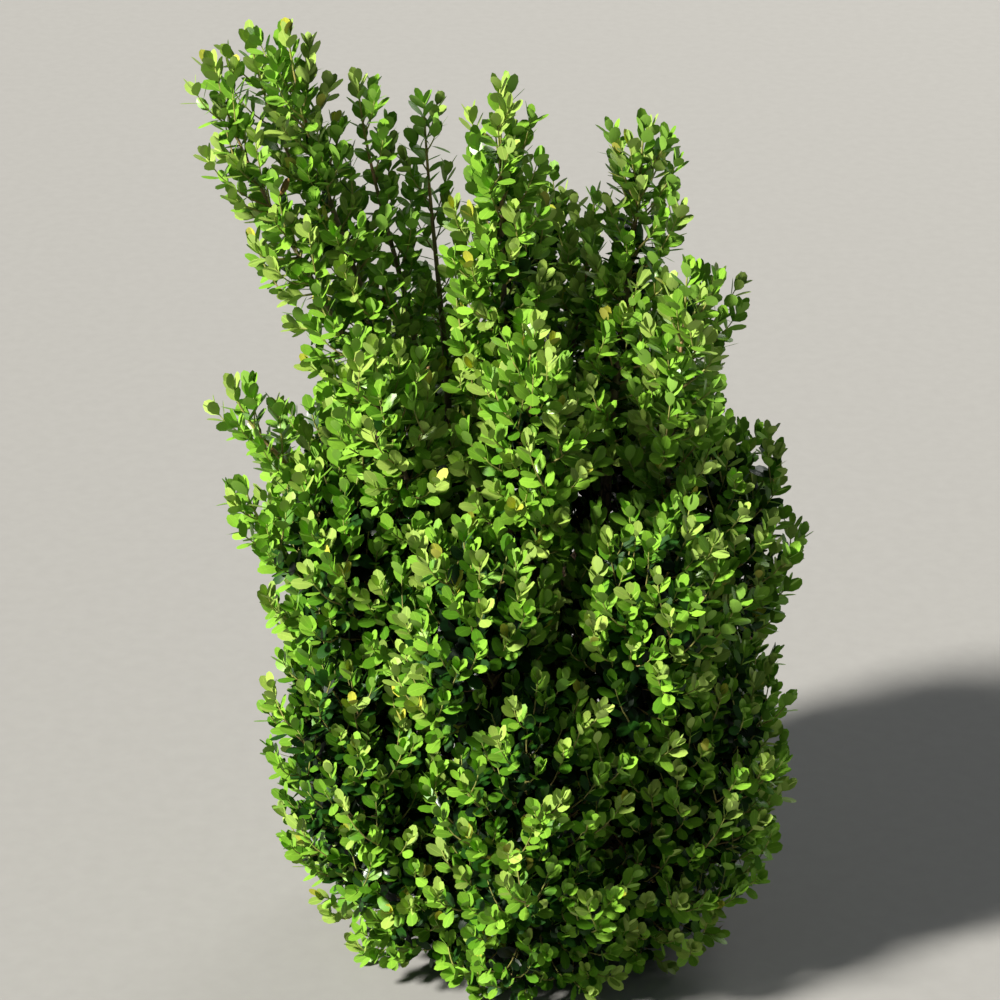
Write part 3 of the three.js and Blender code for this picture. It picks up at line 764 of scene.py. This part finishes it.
def twig_material():
    material, tree, shader = new_material("young_bark")
    young = node(tree, "ShaderNodeAttribute", attribute_name="young").outputs["Fac"]
    ramp = node(tree, "ShaderNodeValToRGB", dict(Fac=young))
    stops = ramp.color_ramp.elements
    stops[0].color = rgb(0.22, 0.16, 0.1)
    stops[1].color = rgb(0.36, 0.44, 0.08)
    stops.new(0.5).color = rgb(0.4, 0.24, 0.09)
    noise = noise_at(tree, object_place(tree), 260.0, 4.0)
    patches = ranged(tree, noise, 0.35, 0.7, 0.0, 0.5)
    patched = mixed(tree, patches, ramp.outputs["Color"], rgb(0.14, 0.1, 0.07))
    feed(tree, shader, noise, 0.5, 0.0004, Base_Color=patched, Roughness=0.7)
    return material


CRACK_WIDTH = 0.16  # in cells
CRACK_COLOUR = rgb(0.05, 0.035, 0.025)
BARK_STRETCH = 0.28  # the pattern's scale upward, as a share of its scale across


def bark_material(name, light, dark, scale):
    material, tree, shader = new_material(name)
    stretch = dict(Vector=object_place(tree), Scale=(scale, scale, scale * BARK_STRETCH))
    place = node(tree, "ShaderNodeMapping", stretch).outputs["Vector"]
    sockets = dict(Vector=place, Scale=1.0)
    cells = node(tree, "ShaderNodeTexVoronoi", sockets, feature="DISTANCE_TO_EDGE")
    cracks = ranged(tree, cells.outputs["Distance"], 0.0, CRACK_WIDTH)
    noise = noise_at(tree, place, 1.4, 6.0)
    colour = mixed(tree, cracks, CRACK_COLOUR, mixed(tree, noise, dark, light))
    feed(tree, shader, maths(tree, "MULTIPLY_ADD", noise, 0.4, cracks), 0.8, 0.001,
         Base_Color=colour, Roughness=0.85)
    return material


# The pieces

mass_names = sorted(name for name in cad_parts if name.startswith("foliage_"))
bough_names = sorted(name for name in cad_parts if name.startswith("bough_"))


def finish_piece(piece, material, nodes):
    piece.data.materials.append(material)
    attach(piece, "root")
    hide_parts(*nodes)


# Each kind of leaf: its tint above, its tint below and how glossy it is. The four plain green kinds,
# from the lightest to the darkest, are one green painted lighter and darker as painted light and
# painted shade; new, yellow and tan leaves have their own colours.
KINDS = dict(
    new=(rgb(0.335, 0.49, 0.095), rgb(0.32, 0.46, 0.1), 0.08),
    lit=(rgb(0.215, 0.44, 0.04), rgb(0.21, 0.4, 0.055), 0.1),
    half_shade=(rgb(0.095, 0.26, 0.015), rgb(0.1, 0.23, 0.026), 0.12),
    shaded=(rgb(0.014, 0.062, 0.007), rgb(0.02, 0.058, 0.01), 0.16),
    inner=(rgb(0.003, 0.014, 0.003), rgb(0.005, 0.016, 0.005), 0.14),
    yellow=(rgb(0.54, 0.56, 0.07), rgb(0.46, 0.46, 0.08), 0.04),
    tan=(rgb(0.3, 0.17, 0.06), rgb(0.26, 0.16, 0.07), 0.0))
MOST_LEAVES = 7000  # in one piece
PAINTED_SHADE_FADE = 26  # how deep in the crown the painted shade comes in, and how far down a shoot the leaves darken, partly with age and partly as painted shade
AGE_AND_SHADE_FADE = 28
OPEN_SPREAD = 75  # a mass that spreads less far gets painted light all through
PAINTED_LIGHT_SHARES = dict(depth=0.58, age=0.42, openness=0.5, spray=0.075, stray=0.05)
KIND_PAINTED_LIGHT = dict(shaded=0.2, half_shade=0.36, lit=0.47)  # a leaf of the kind has more painted light than this
# New leaves are light and close to the tip of a shoot that is tinted new, and only where the painted
# light is high.
# Some of the very newest are yellow, and so are a few strays anywhere. Where the odd number is
# highest, a leaf is tan.
NEW_PAINTED_LIGHT = 0.6
NEW_AGE = 14
YELLOW_AGE = 4
YELLOW_SPRAY = 1.3
YELLOW_SHARE = 0.6
STRAY_YELLOW = 0.0015
TAN_FROM = 0.9995
TONE = (0.5, 0.3)  # middle and spread of the tones of single leaves
TINT_SEED = 88

rng = np.random.default_rng(TINT_SEED)
spray = leaves["spray"].astype(int)
spray_tint = rng.normal(0, 1, len(shoots))[spray]
openness = np.maximum(0, 1 - np.array([shoot["spread"] for shoot in shoots]) / OPEN_SPREAD)[spray]
age = leaves["age"]
# The painted light of each leaf: painted shade deeper in the crown, darker further from the tip partly
# with age and partly as painted shade, painted light on slim masses, and random variation by spray and
# leaf. It picks the leaf's lit or shaded tint.
light = (PAINTED_LIGHT_SHARES["depth"] * np.exp(-np.maximum(depth, 0) / PAINTED_SHADE_FADE)
         + PAINTED_LIGHT_SHARES["age"] * np.exp(-age / AGE_AND_SHADE_FADE) + PAINTED_LIGHT_SHARES["openness"] * openness
         + PAINTED_LIGHT_SHARES["spray"] * spray_tint + rng.normal(0, PAINTED_LIGHT_SHARES["stray"], len(depth)))
kind = np.full(len(depth), "inner", dtype=object)
for name, least in KIND_PAINTED_LIGHT.items():
    kind[light > least] = name
kind[(light > NEW_PAINTED_LIGHT) & (age < NEW_AGE) & (spray_tint > 0)] = "new"
odd = rng.uniform(0, 1, len(depth))
young_tip = (age < YELLOW_AGE) & (spray_tint > YELLOW_SPRAY) & (odd < YELLOW_SHARE)
kind[young_tip | (odd < STRAY_YELLOW)] = "yellow"
kind[odd > TAN_FROM] = "tan"
tone = np.clip(TONE[0] + TONE[1] * rng.normal(0, 1, len(depth)), 0, 1)
for name, (tint, under, coat) in KINDS.items():
    chosen = np.flatnonzero(kept & (kind == name))
    material = leaf_material(f"leaf_{name}", tint, under, coat)
    for part, some in enumerate(np.array_split(chosen, math.ceil(len(chosen) / MOST_LEAVES))):
        piece = leaf_piece(f"leaves_{name}_{part + 1}", some, tone[some])
        finish_piece(piece, material, mass_names)

# Each kind of shoot: its tube's sides and rings
SHOOT_TUBES = dict(stem=(8, 25), twig=(4, 8), side=(3, 5))
YOUNG_RUN = 130  # how far from the growing tip the bark is young
young_bark = twig_material()
for name, (sides, rings) in SHOOT_TUBES.items():
    chosen = [shoot for shoot in shoots if shoot["kind"] == name]
    share = np.linspace(0, 1, rings)[:, None]
    radii = [mix(shoot["base"], shoot["tip"], share) + np.zeros(sides) for shoot in chosen]
    piece = tube_piece(f"{name}s", [shoot["way"] for shoot in chosen], radii)
    young = []
    for shoot in chosen:
        ring_young = np.maximum(0, 1 - (1 - share[:, 0]) * shoot["length"] / YOUNG_RUN)
        young += [np.repeat(ring_young, sides), ring_young[[-1, 0]]]
    point_values(piece, "young", np.concatenate(young))
    finish_piece(piece, young_bark, mass_names)

# The bark's relief: how many ridges run round a limb, how long a wave they twist in, and how
# deep they are, in shares of its radius
RIDGES = ((3, 40, 0.03), (5, 23, 0.025), (8, 13, 0.02))
RIDGE_TWIST = 1.4
RING_SCARS = (9, 31, 0.03)  # a short and a long wave along the limb, and how high they stand
SWOLLEN_BASE = (0.3, 0.05)  # how much thicker, and over what share of the limb


def limb_piece(name, names, sides, rings, seed):
    """Limbs with the bark's relief: low twisting ridges, ring scars and, on a bough, a swollen
    base."""
    rng = np.random.default_rng(seed)
    share = np.linspace(0, 1, rings)[:, None]
    turn = np.arange(sides) * 2 * math.pi / sides
    radii = []
    for limb_name in names:
        run = share * length_of(limbs[limb_name]["way"])
        short, long, high = RING_SCARS
        relief = high * np.sin(run / short + rng.uniform(0, 6)) * np.sin(run / long)
        for ridges, wave, height in RIDGES:
            phase = rng.uniform(0, 2 * math.pi, 2)
            twist = RIDGE_TWIST * np.sin(run / wave + phase[0])
            relief = relief + height * np.sin(ridges * turn + twist + phase[1])
        swollen = SWOLLEN_BASE[0] * np.exp(-share / SWOLLEN_BASE[1]) * (limb_name != "trunk")
        radii.append(limb_radius(limb_name, share, turn) * (1 + relief) * (1 + swollen))
    return tube_piece(name, [limbs[limb_name]["way"] for limb_name in names], radii)


old_bark = bark_material("old_bark", rgb(0.34, 0.27, 0.19), rgb(0.17, 0.125, 0.085), 160.0)
limb_bark = bark_material("bough_bark", rgb(0.3, 0.2, 0.11), rgb(0.17, 0.11, 0.065), 260.0)
finish_piece(limb_piece("trunk_bark", ["trunk"], 40, 60, 3), old_bark, ["trunk"])
boughs = [name for name in limbs if name != "trunk"]
finish_piece(limb_piece("bough_bark", boughs, 14, 40, 4), limb_bark, bough_names)


# Floor, light and camera

FLOOR_SIZE = 40
FLOOR_COLOURS = (rgb(0.312, 0.306, 0.296), rgb(0.325, 0.319, 0.309))
LAMPS_AIM = (0, 0, 0.4)
KEY_PLACE = (-5.2, -2.6, 5.0)
KEY_STRENGTH = 7.6
KEY_ANGLE = 8  # degrees
FILL_PLACE = (2.2, -2.2, 1.6)
FILL_POWER = 2.5
FILL_SIZE = 1.8
BACK_PLACE = (3.4, 7.0, 5.0)
BACK_POWER = 240
BACK_SIZE = 4.5
SKY_COLOUR = rgb(0.78, 0.91, 1.0)
SKY_STRENGTH = 0.095
CAMERA_PLACE = (-0.032, -2.202, 1.494)
CAMERA_TILT = 64  # degrees up from straight down
CAMERA_LENS = 104.4
CAMERA_SENSOR = 36


def add_floor():
    shape = bmesh.new()
    bmesh.ops.create_grid(shape, x_segments=1, y_segments=1, size=FLOOR_SIZE)
    mesh = bpy.data.meshes.new("floor")
    shape.to_mesh(mesh)
    shape.free()
    floor = bpy.data.objects.new("floor", mesh)
    bpy.context.scene.collection.objects.link(floor)
    material, tree, shader = new_material("pale_floor")
    noise = noise_at(tree, object_place(tree), 60.0, 3.0)
    colour = mixed(tree, ranged(tree, noise, 0.3, 0.7), *FLOOR_COLOURS)
    feed(tree, shader, noise, 0.1, 0.0002, Base_Color=colour, Roughness=0.9)
    mesh.materials.append(material)
    floor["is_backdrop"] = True


def add_light(name, kind, place, power, colour, **settings):
    """A lamp that looks at the middle of the shrub."""
    lamp = bpy.data.lights.new(name, kind)
    lamp.energy = power
    lamp.color = colour
    for setting, value in settings.items():
        setattr(lamp, setting, value)
    made = bpy.data.objects.new(name, lamp)
    made.location = place
    toward = LAMPS_AIM - np.array(place)
    level = math.hypot(toward[0], toward[1])
    made.rotation_euler = (math.atan2(level, -toward[2]), 0, math.atan2(-toward[0], toward[1]))
    bpy.context.scene.collection.objects.link(made)


add_floor()
add_light("key", "SUN", KEY_PLACE, KEY_STRENGTH, (1.0, 0.97, 0.9), angle=math.radians(KEY_ANGLE))
add_light("fill", "AREA", FILL_PLACE, FILL_POWER, (0.92, 0.96, 1.0), shape="DISK", size=FILL_SIZE)
add_light("rim", "AREA", BACK_PLACE, BACK_POWER, (1.0, 0.99, 0.96), shape="DISK", size=BACK_SIZE)
world = bpy.data.worlds.new("studio")
world.use_nodes = True
sky = world.node_tree.nodes["Background"]
sky.inputs["Color"].default_value = SKY_COLOUR
sky.inputs["Strength"].default_value = SKY_STRENGTH
bpy.context.scene.world = world

camera = bpy.data.cameras.new("camera")
camera.lens = CAMERA_LENS
camera.sensor_width = CAMERA_SENSOR
view = bpy.data.objects.new("camera", camera)
view.location = CAMERA_PLACE
view.rotation_euler = (math.radians(CAMERA_TILT), 0, 0)
bpy.context.scene.collection.objects.link(view)
bpy.context.scene.camera = view
bpy.context.scene.view_settings.view_transform = "Standard"
